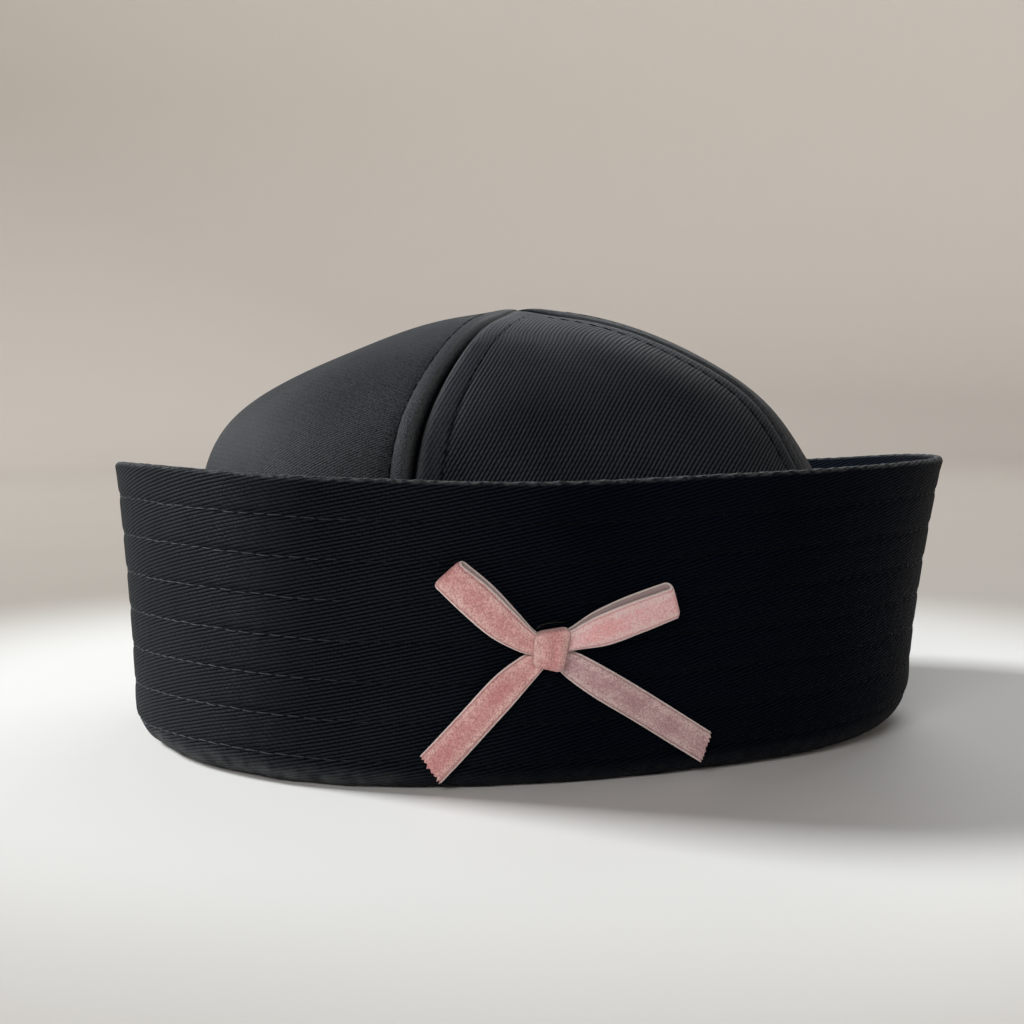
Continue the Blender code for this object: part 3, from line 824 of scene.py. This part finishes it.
class Paint:
    """A Principled material, with short ways to add its nodes."""

    def __init__(self, name):
        self.material = bpy.data.materials.new(name)
        self.material.use_nodes = True
        self.tree = self.material.node_tree

    def feed(self, node, inputs):
        """Link or set a node's inputs. A colour comes without its alpha."""
        for title, value in inputs.items():
            socket = node.inputs[title]
            if isinstance(value, bpy.types.NodeSocket):
                self.tree.links.new(value, socket)
            else:
                socket.default_value = value + (1,) if isinstance(value, tuple) else value

    def node(self, kind, inputs=(), **settings):
        """Add a node, its inputs given as pairs or as a dictionary."""
        made = self.tree.nodes.new(kind)
        for key, value in settings.items():
            setattr(made, key, value)
        self.feed(made, dict(inputs))
        return made

    def math(self, operation, *values):
        made = self.node("ShaderNodeMath", enumerate(values), operation=operation)
        return made.outputs[0]

    def times(self, first, second):
        return self.math("MULTIPLY", first, second)

    def scaled(self, value, scale, shift):
        return self.math("MULTIPLY_ADD", value, scale, shift)

    def axes(self, vector):
        return self.node("ShaderNodeSeparateXYZ", {0: vector}).outputs

    def map(self, title):
        """The two coordinates of a map, and the vector of both."""
        vector = self.node("ShaderNodeUVMap", uv_map=title).outputs[0]
        first, second, _ = self.axes(vector)
        return first, second, vector

    def place(self):
        return self.node("ShaderNodeTexCoord").outputs["Object"]

    def noise(self, vector, scale, detail=2.0):
        inputs = {"Vector": vector, "Scale": scale, "Detail": detail}
        return self.node("ShaderNodeTexNoise", inputs).outputs["Fac"]

    def between(self, value, low, high, out_low=0.0, out_high=1.0):
        """Smooth step from one value to another; the low one may be the higher."""
        return self.node("ShaderNodeMapRange", enumerate((value, low, high, out_low, out_high)),
                         interpolation_type="SMOOTHSTEP").outputs[0]

    def band(self, value, rise, fall):
        return self.times(self.between(value, *rise), self.between(value, *fall))

    def mix(self, share, first, second):
        inputs = {0: share, 6: first, 7: second}
        return self.node("ShaderNodeMix", inputs, data_type="RGBA").outputs[2]

    def finish(self, colour, height, depth, roughness, ior,
               sheen=0.0, sheen_roughness=0.4, tint=(1, 1, 1)):
        inputs = {"Distance": depth, "Strength": 1.0, "Height": height}
        bump = self.node("ShaderNodeBump", inputs)
        self.feed(self.tree.nodes["Principled BSDF"], {
            "Base Color": colour, "Roughness": roughness, "IOR": ior, "Sheen Weight": sheen,
            "Sheen Roughness": sheen_roughness, "Sheen Tint": tint,
            "Normal": bump.outputs[0]})
        return self.material


# Colours of the twill: the cloth between and on its ribs, and what lies on it. The darker
# valley colours are painted shade between the ribs.
BRIM_VALLEY = (0.0001, 0.0006, 0.0024)
BRIM_CREST = (0.0025, 0.0050, 0.0106)
# Painted light: the brim's crest colour on its left side, where light falls.
LIT_SIDE_CREST = (0.0205, 0.0240, 0.0290)
# Painted light: the crown's colours are the brim's twill painted lighter, for the light that
# falls on the crown.
CROWN_VALLEY = (0.0008, 0.0014, 0.0028)
CROWN_CREST = (0.0465, 0.0530, 0.0655)
# Painted light: the side gores' colours are the crown twill painted lighter, for the light on
# the left and right gores.
SMOOTH_LIT_VALLEY = (0.0036, 0.0047, 0.0064)
SMOOTH_LIT_CREST = (0.0510, 0.0560, 0.0640)
# Painted highlight along the brim's rim.
RIM_HIGHLIGHT = (0.095, 0.100, 0.108)
# Painted highlight with wear, on the welts beside the seams.
WELT_WEAR_AND_HIGHLIGHT = (0.120, 0.125, 0.130)
# Painted shade in the seams' grooves and along the topstitching.
GROOVE_SHADE = (0, 0.0002, 0.0006)
# Painted sheen with dust, on the brim's fold.
FOLD_DUST_AND_SHEEN = (0.085, 0.088, 0.092)
LINT = (0.05, 0.05, 0.052)

# Weave. A drift is a noise scale, per metre, and how many ribs it moves the weave.
RIB_FLOAT = 1.7 * MM  # length of one thread's float along a rib
FLOAT_SLIP = 0.37  # of a float, from one rib to the next
FLOAT_DIP = 0.4  # share of a rib's height, at a float's ends
SLOW_DRIFT = (55.0, 0.55)
FAST_DRIFT = (420.0, 0.22)
FUZZ_SCALE = 2300.0
FUZZ = 0.6
TWILL_ROUGHNESS = (0.52, 0.64)
TWILL_SHEEN = (0.02, 0.3, (0.92, 0.97, 1.0))  # weight, roughness and tint
TWILL_IOR = 1.14
BRIM_IOR = 1.085

# Steps of the marks: where each starts and ends, and its shares there if not 0 and 1.
# The first two go by x, then three by the way up the brim, and the rest by the seams.
# Painted light: the brim turns lighter towards the left, from here.
LIT_SIDE_STEP = (-15 * MM, -92 * MM)
# Painted sheen with dust on the fold, towards the left:
DUST_AND_SHEEN_SIDE = (-52 * MM, -74 * MM, 0.15, 1.0)
# Band of the painted rim highlight:
RIM_RISE = (0.2 * MM, 1.4 * MM)
RIM_FALL = (3.6 * MM, 2.4 * MM)
# Painted sheen with dust, below the last row of stitches:
DUST_AND_SHEEN_FOLD = (-60.5 * MM, -64.5 * MM)
# Painted shade: steps of the dark at the seam and at the topstitching.
SEAM_SHADE_STEP = (0.62 * MM, 0.25 * MM)
STITCH_SHADE_STEP = (0.09, 0.03)
WELT_RISE = (0.10, 0.20)
WELT_FALL = (0.46, 0.26, 0.0, 0.62)
PRESSED = (1.15, 0.8, 0.0, 0.6)
PRESSED_HEIGHT = 0.72


def twill(name, lean, rib, relief, rise, valley, crest, seams=False, light_and_dust=0.0, ior=TWILL_IOR):
    """Black twill: ribs that lean by an angle from the map's first axis, a rib apart.

    The relief is the depth of the weave, the rise is the ribs' share of it, and valley and
    crest are their colours, the darker valley being painted shade between the ribs. Seams
    bring pressed strips, welts lightened by wear and a painted highlight, and painted shade
    in their grooves. On a brim, a share sets a painted highlight along the rim, painted sheen
    with dust on the fold, and a painted lighter left side where light falls.
    """
    paint = Paint(name)
    u, v, vector = paint.map("cloth")
    place = paint.place()
    sine, cosine = math.sin(math.radians(lean)), math.cos(math.radians(lean))
    drift = paint.scaled(paint.noise(vector, SLOW_DRIFT[0]), SLOW_DRIFT[1],
                         paint.times(paint.noise(vector, FAST_DRIFT[0], 1.0), FAST_DRIFT[1]))
    across = paint.scaled(v, cosine / rib, paint.scaled(u, -sine / rib, drift))
    run = paint.scaled(u, cosine / RIB_FLOAT, paint.times(v, sine / RIB_FLOAT))
    sweep = paint.scaled(paint.math("FRACT", across), 2.0, -1.0)
    ridge = paint.math("SUBTRACT", 1.0, paint.times(sweep, sweep))
    slip = paint.times(paint.math("FLOOR", across), FLOAT_SLIP)
    float_part = paint.math("FRACT", paint.math("ADD", run, slip))
    float_sweep = paint.scaled(float_part, 2.0, -1.0)
    dip = paint.math("POWER", paint.math("ABSOLUTE", float_sweep), 6.0)
    height = paint.times(ridge, paint.scaled(dip, -FLOAT_DIP * rise, rise))
    fuzz = paint.noise(place, FUZZ_SCALE, 3.0)
    if seams:
        away, strips, _ = paint.map("seam")
        to_flat = paint.math("SUBTRACT", PRESSED_HEIGHT * rise, height)
        height = paint.scaled(to_flat, paint.between(strips, *PRESSED), height)
    height = paint.scaled(fuzz, FUZZ, height)
    patches = paint.between(paint.noise(place, 38.0, 4.0), 0.3, 0.7, 0.78, 1.25)
    shade = paint.between(height, 0.33 * FUZZ + 0.42 * rise, 0.72 * FUZZ + 0.78 * rise)
    # Painted light: the brim's crest colour turns lighter towards the left, where light falls.
    if light_and_dust:
        side = paint.axes(place)[0]
        lit_side = paint.times(paint.between(side, *LIT_SIDE_STEP), light_and_dust)
        crest = paint.mix(lit_side, crest, LIT_SIDE_CREST)
    # Painted shade: rib valleys take the darker valley colour, and crests the lighter one.
    colour = paint.mix(paint.times(shade, patches), valley, crest)
    if seams:
        # Painted shade: the seam's groove and the topstitching line turn dark.
        off_stitches = paint.math("ABSOLUTE", paint.math("SUBTRACT", strips, 1.0))
        broken = paint.between(paint.noise(place, 620.0), 0.36, 0.62, 0.25, 0.85)
        stitch_groove_shade = paint.times(paint.between(off_stitches, *STITCH_SHADE_STEP), broken)
        groove_shade = paint.math("MAXIMUM", paint.between(away, *SEAM_SHADE_STEP), stitch_groove_shade)
        # Painted highlight with wear: the welt beside the seam is lighter, broken by noise.
        welt_wear_and_highlight = paint.times(paint.band(strips, WELT_RISE, WELT_FALL),
                           paint.noise(place, 900.0, 3.0))
        colour = paint.mix(welt_wear_and_highlight, colour, WELT_WEAR_AND_HIGHLIGHT)
        colour = paint.mix(paint.times(groove_shade, 0.92), colour, GROOVE_SHADE)
    if light_and_dust:
        # Painted highlight: a lighter band along the rim, broken by noise.
        painted_light = paint.between(paint.noise(vector, 620.0, 3.0), 0.38, 0.62, 0.25, 1.35)
        painted_light = paint.times(paint.band(v, RIM_RISE, RIM_FALL), painted_light)
        colour = paint.mix(paint.times(painted_light, light_and_dust), colour, RIM_HIGHLIGHT)
        # Painted sheen with dust: a greyer patch on the fold, towards the left.
        dust_and_sheen = paint.between(paint.noise(place, 260.0, 4.0), 0.3, 0.7, 0.2, 0.95)
        dust_and_sheen = paint.times(paint.between(v, *DUST_AND_SHEEN_FOLD), dust_and_sheen)
        dust_and_sheen = paint.times(dust_and_sheen, paint.between(side, *DUST_AND_SHEEN_SIDE))
        colour = paint.mix(paint.times(dust_and_sheen, light_and_dust), colour, FOLD_DUST_AND_SHEEN)
    lint = paint.between(paint.noise(place, 1500.0), 0.72, 0.79, 0.0, 0.3)
    colour = paint.mix(lint, colour, LINT)
    rough = paint.between(fuzz, 0.3, 0.7, *TWILL_ROUGHNESS)
    return paint.finish(colour, height, relief, rough, ior, *TWILL_SHEEN)


GREY_THREAD = (0.0036, 0.0044, 0.0060)
# Painted light: the brim thread's colour on the lit left of the cap.
LIT_THREAD = (0.058, 0.063, 0.068)
DARK_THREAD = (0.0020, 0.0025, 0.0030)
TACK_THREAD = (0.0020, 0.0022, 0.0026)
LIT_THREAD_SIDE = (-60 * MM, -86 * MM)


def thread_material(name, colour, roughness, ior, painted_light=None):
    """Spun sewing thread, which may be painted lighter on the left of the cap, where light
    falls.
    """
    paint = Paint(name)
    place = paint.place()
    twist = paint.noise(place, 2600.0)
    tone = paint.between(paint.noise(place, 90.0), 0.3, 0.7, 0.75, 1.2)
    dark, light = (tuple(part * share for part in colour) for share in (0.6, 1.25))
    shade = paint.times(paint.between(twist, 0.35, 0.65), tone)
    colour = paint.mix(shade, dark, light)
    if painted_light:
        # Painted light: the thread turns lighter towards the left, where light falls.
        side = paint.between(paint.axes(place)[0], *LIT_THREAD_SIDE)
        ragged = paint.times(side, paint.between(twist, 0.25, 0.6, 0.45, 1.0))
        colour = paint.mix(ragged, colour, painted_light)
    return paint.finish(colour, twist, 0.06 * MM, roughness, ior)


# Name, colours of the shadow, the pile and the brushed pile, and speck.
VELVETS = (
    ("velvet_pink", (0.40, 0.16, 0.17), (0.68, 0.31, 0.31), (0.90, 0.57, 0.54), 0.9),
    # Painted light: the second row is the pink velvet painted lighter for the right loop's lit
    # face, and the third is it painted darker and greyer for the right tail, in shade.
    ("velvet_pink_lit", (0.64, 0.30, 0.33), (0.93, 0.48, 0.49), (0.98, 0.74, 0.73), 0.8),
    ("velvet_pink_shaded", (0.34, 0.18, 0.20), (0.58, 0.35, 0.37), (0.80, 0.60, 0.60), 1.0),
)
VELVET_GROUND = (0.80, 0.62, 0.57)
WRONG_SIDE = (0.46, 0.35, 0.35)
SELVAGE = (0.80, 0.70, 0.67)
# Steps by the distance from a ribbon's edge.
NEAR_EDGE = (2.7 * MM, 0.6 * MM)
FURROW_RISE = (0.26 * MM, 0.42 * MM)
FURROW_FALL = (0.78 * MM, 0.58 * MM)
SELVAGE_STEP = (0.32 * MM, 0.18 * MM, 0.0, 0.85)


def velvet(name, shadow, pile, bright, speck):
    """Velvet ribbon: brushed pile, a pale selvage, and some ground seen near the edges."""
    paint = Paint(name)
    edge, way, vector = paint.map("cloth")
    place = paint.place()
    pile_grain = paint.noise(place, 3000.0)
    tuft = paint.noise(place, 1700.0, 3.0)
    brushed = paint.noise(place, 150.0)
    drift = paint.scaled(paint.noise(vector, 700.0), 0.3 * MM, -0.15 * MM)
    ragged = paint.math("ADD", edge, drift)
    near = paint.between(edge, *NEAR_EDGE)
    nap = paint.scaled(tuft, 0.5, paint.times(brushed, 0.5))
    nap = paint.scaled(near, 0.12, nap)
    colour = paint.mix(paint.between(nap, 0.40, 0.72), pile, bright)
    colour = paint.mix(paint.between(pile_grain, 0.32, 0.58, 0.6, 0.0), colour, shadow)
    ground = paint.times(paint.between(pile_grain, 0.50, 0.66), near)
    colour = paint.mix(paint.times(ground, speck), colour, VELVET_GROUND)
    furrow = paint.band(ragged, FURROW_RISE, FURROW_FALL)
    colour = paint.mix(paint.times(furrow, 0.55), colour, shadow)
    under = paint.math("GREATER_THAN", way, UNDERSIDE / 2)
    colour = paint.mix(under, colour, WRONG_SIDE)
    colour = paint.mix(paint.between(ragged, *SELVAGE_STEP), colour, SELVAGE)
    height = paint.scaled(furrow, -0.5, paint.scaled(tuft, 0.7, pile_grain))
    return paint.finish(colour, height, 0.20 * MM, 0.85, 1.25, 0.5, 0.35, (1.0, 0.86, 0.85))


# ---- studio

CAMERA_AZIMUTH = 337.0  # the photograph's side
CAMERA_DISTANCE = 0.425
CAMERA_HEIGHT = 0.086
CAMERA_PITCH = 4.503
CAMERA_LENS = 56.25
CAMERA_SHIFT = -9 / 1024


def in_view(right, away, up):
    """Point named as the camera sees it: right and away from the cap's middle, and up."""
    turn = math.radians(360 - CAMERA_AZIMUTH)
    return Vector((CENTRE[0] + right * math.cos(turn) + away * math.sin(turn),
                   CENTRE[1] - right * math.sin(turn) + away * math.cos(turn), up))


def aim(thing, target):
    thing.rotation_euler = (target - thing.location).to_track_quat("-Z", "Y").to_euler()


def build_camera():
    data = bpy.data.cameras.new("camera")
    data.lens = CAMERA_LENS
    data.sensor_fit = "HORIZONTAL"
    data.shift_x = CAMERA_SHIFT
    data.clip_start = 0.01
    camera = add_object("camera", data)
    camera.location = in_view(0, -CAMERA_DISTANCE, CAMERA_HEIGHT)
    drop = CAMERA_DISTANCE * math.tan(math.radians(CAMERA_PITCH))
    aim(camera, in_view(0, 0, CAMERA_HEIGHT - drop))
    bpy.context.scene.camera = camera


# Name, place right, away and up, width, height, power and colour.
LAMPS = (
    ("window", -2.08, 0.70, 1.30, 0.65, 0.65, 118.0, (0.975, 1.0, 1.0)),
    ("sky_behind", 0.45, 1.25, 0.80, 1.2, 0.3, 7.5, (0.97, 0.985, 1.0)),
    ("fill_front", -0.45, -1.3, 0.8, 0.6, 0.4, 7.5, (1.0, 0.98, 0.96)),
)
SKY_COLOUR = (0.93, 0.95, 1.0, 1)
SKY_STRENGTH = 0.045


def build_lamps():
    for name, right, away, up, width, height, power, colour in LAMPS:
        data = bpy.data.lights.new(name, "AREA")
        data.shape = "RECTANGLE"
        data.size, data.size_y = width, height
        data.energy, data.color = power, colour
        thing = add_object(name, data)
        thing.location = in_view(right, away, up)
        aim(thing, in_view(0, 0, 0.05))
    world = bpy.data.worlds.new("studio")
    bpy.context.scene.world = world
    world.use_nodes = True
    sky = world.node_tree.nodes["Background"]
    sky.inputs["Color"].default_value = SKY_COLOUR
    sky.inputs["Strength"].default_value = SKY_STRENGTH


FLOOR_REACH = 1.5
COVE = 0.5
WALL = 0.5
FLOOR_SIDES = 96
NEAR_TONES = ((0.80, 0.795, 0.78), (0.83, 0.825, 0.815))
FAR_TONES = ((0.36, 0.326, 0.292), (0.38, 0.346, 0.312))
WALL_TONE = (0.60, 0.546, 0.500)


def build_floor():
    """Pale round floor that curves up into a low wall, far from the cap."""
    profile = [(FLOOR_REACH * i / 6, 0.0) for i in range(7)]
    profile += [(FLOOR_REACH + COVE * math.sin(a), COVE * (1 - math.cos(a)))
                for a in np.linspace(0, math.pi / 2, 13)[1:]]
    profile += [(FLOOR_REACH + COVE, COVE + WALL)]
    angles = [2 * math.pi * step / FLOOR_SIDES for step in range(FLOOR_SIDES)]
    points = [(0.0, 0.0, 0.0)] + [(radius * math.cos(angle), radius * math.sin(angle), height)
                                  for radius, height in profile[1:] for angle in angles]
    rings = closed(np.arange(1, len(points)).reshape(-1, FLOOR_SIDES))
    middle = [(0, int(a), int(b)) for a, b in zip(rings[0], rings[0, 1:])]
    mesh = bpy.data.meshes.new("floor")
    mesh.from_pydata(points, [], middle + quads(rings).tolist())
    mesh.shade_smooth()
    paint = Paint("pale_floor")
    away = paint.node("ShaderNodeVectorMath", {0: paint.place()},
                      operation="LENGTH").outputs["Value"]
    far = paint.between(away, 0.15, 0.30)
    wall = paint.between(away, 1.1, 2.0)
    grain = paint.noise(paint.place(), 7.0, 3.0)
    far_colour = paint.mix(wall, paint.mix(grain, *FAR_TONES), WALL_TONE)
    colour = paint.mix(far, paint.mix(grain, *NEAR_TONES), far_colour)
    mesh.materials.append(paint.finish(colour, grain, 0.1 * MM, 0.6, 1.3))
    thing = add_object("floor", mesh)


# ---- cap

def dress(thing, slot, *nodes):
    """Let a piece go with the cap, and stand for the solids that it replaces."""
    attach(thing, "root")
    if nodes:
        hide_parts(*nodes)


def main():
    brim_cloth = twill("twill_brim", lean=13.5, rib=0.81 * MM, relief=0.32 * MM, rise=1.0,
                       valley=BRIM_VALLEY, crest=BRIM_CREST, light_and_dust=0.8, ior=BRIM_IOR)
    crown_cloth = twill("twill_crown", lean=51.0, rib=0.92 * MM, relief=0.30 * MM, rise=1.0,
                        valley=CROWN_VALLEY, crest=CROWN_CREST, seams=True)
    smooth_lit_cloth = twill("twill_crown_sides_lit", lean=51.0, rib=0.72 * MM, relief=0.36 * MM,
                         rise=0.25, valley=SMOOTH_LIT_VALLEY, crest=SMOOTH_LIT_CREST, seams=True)
    grey_thread = thread_material("thread_grey", GREY_THREAD, 0.5, 1.16, LIT_THREAD)
    dark_thread = thread_material("thread_dark", DARK_THREAD, 0.8, 1.1)
    tack_thread = thread_material("thread_tack", TACK_THREAD, 0.25, 1.5)
    # The lighter velvet is the pink one painted lit, and the greyer one is it painted in shade.
    pink, bright, shaded_pink = (velvet(*row) for row in VELVETS)

    dress(build_brim(brim_cloth), "black_twill", "brim")
    for gore in GORES:
        # The left and right gores take the twill that is painted lighter for their light.
        cloth = smooth_lit_cloth if gore.name in ("left", "right") else crown_cloth
        dress(build_gore(gore, cloth), "black_twill", "crown_gore_" + gore.name)
    dress(brim_stitches("brim_stitches_outside", False, grey_thread), "black_twill")
    dress(brim_stitches("brim_stitches_inside", True, grey_thread), "black_twill")
    dress(crown_stitches("crown_stitches", dark_thread), "black_twill")
    for side, rows, cut, seed, cloth in (("left", LEFT_TAIL, LEFT_CUT, 41, pink),
                                         ("right", RIGHT_TAIL, RIGHT_CUT, 43, shaded_pink)):
        tail = "bow_tail_" + side
        dress(build_tail(tail + "_velvet", rows, cut, seed, cloth), "pink_velvet", tail)
    for side, rows, slip, cloth in (("left", LEFT_LOOP, LEFT_SLIP, pink),
                                    ("right", RIGHT_LOOP, RIGHT_SLIP, bright)):
        loop = "bow_loop_" + side
        dress(build_loop(loop + "_velvet", rows, slip, cloth), "pink_velvet", loop)
    dress(build_knot(pink), "pink_velvet", "bow_knot")
    dress(tack_stitches("bow_tack", tack_thread), "black_twill")

    build_floor()
    build_lamps()
    build_camera()
    bpy.context.scene.view_settings.view_transform = "Standard"


main()
